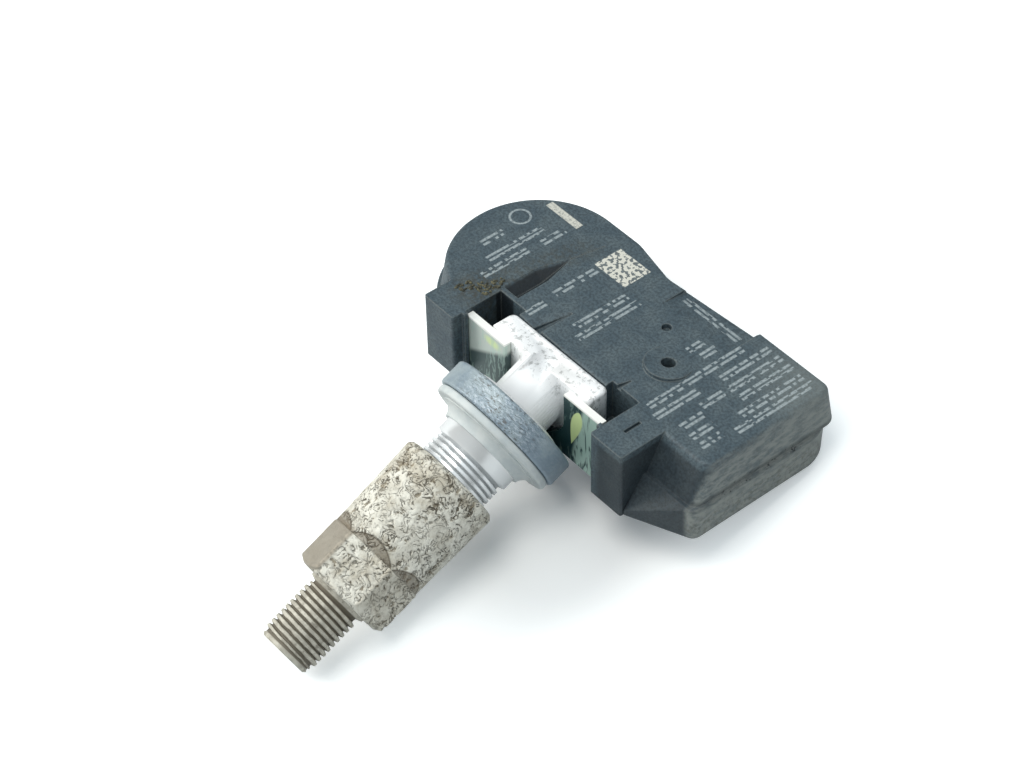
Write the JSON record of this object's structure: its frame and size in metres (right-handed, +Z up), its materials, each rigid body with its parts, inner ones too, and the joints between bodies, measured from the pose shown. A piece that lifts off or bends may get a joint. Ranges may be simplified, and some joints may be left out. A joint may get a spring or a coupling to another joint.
{
  "type": "tyre pressure sensor",
  "caption": "Clamp-in tyre pressure sensor: a moulded electronics housing on the foot of a metal tyre valve, with seal, backing ring, clamp nut and a spring-closed valve core.",
  "frame": {"origin": "middle of the bounding box's underside, on the surface that the sensor lies on", "axes": "+X along the housing towards its square lobe, +Y from the valve tip towards the housing, +Z up"},
  "size_m": [0.0548, 0.069, 0.0208],
  "materials": {
    "housing_plastic": "matte, fine moulded grain, dusty",
    "cover_plastic": "matte",
    "board_laminate": "satin solder mask",
    "cell_steel": "satin",
    "tab_nickel": "satin",
    "chip_plastic": "matte",
    "seal_rubber": "matte",
    "ferrite": "matte",
    "copper_wire": "enamelled",
    "antenna_metal": "satin",
    "chip_ceramic": "matte",
    "stem_aluminium": "machined, clean at the middle",
    "plate_steel": "polished",
    "ring_aluminium": "satin, blue-grey, fine scratches",
    "grommet_rubber": "matte, light grey",
    "nut_aluminium": "covered in white oxide with brown pits",
    "core_brass": "dull",
    "pin_steel": "dull"
  },
  "bodies": {
    "sensor": {"housing": "housing_plastic", "base_cover": "cover_plastic", "circuit_board": "board_laminate", "battery_cell": "cell_steel", "battery_tab_positive": "tab_nickel", "battery_tab_negative": "tab_nickel", "sensor_chip": "chip_plastic", "port_seal": "seal_rubber", "wake_coil_core": "ferrite", "wake_coil_winding": "copper_wire", "radio_antenna": "antenna_metal", "crystal": "cell_steel", "board_capacitors": "chip_ceramic", "valve_stem": "stem_aluminium", "retaining_plate": "plate_steel", "collar_ring": "ring_aluminium", "sealing_grommet": "grommet_rubber", "valve_core_body": "core_brass", "core_barrel_seal": "seal_rubber", "core_spring": "pin_steel"},
    "nut": {"collar_nut": "nut_aluminium"},
    "core_plunger": {"core_pin": "pin_steel", "core_cup": "core_brass"}
  },
  "joints": [
    {"name": "nut_turn", "type": "hinge", "parent": "sensor", "child": "nut", "pos_m": [-0.00007, -0.01476, 0.00829], "axis": [0, -0.9869, -0.1612], "continuous": true},
    {"name": "core_pin_press", "type": "slide", "parent": "sensor", "child": "core_plunger", "axis": [0, 0.9869, 0.1612], "range_m": [0, 0.0012], "stiffness_N_per_m": 1500, "deforming": ["core_spring"]}
  ]
}
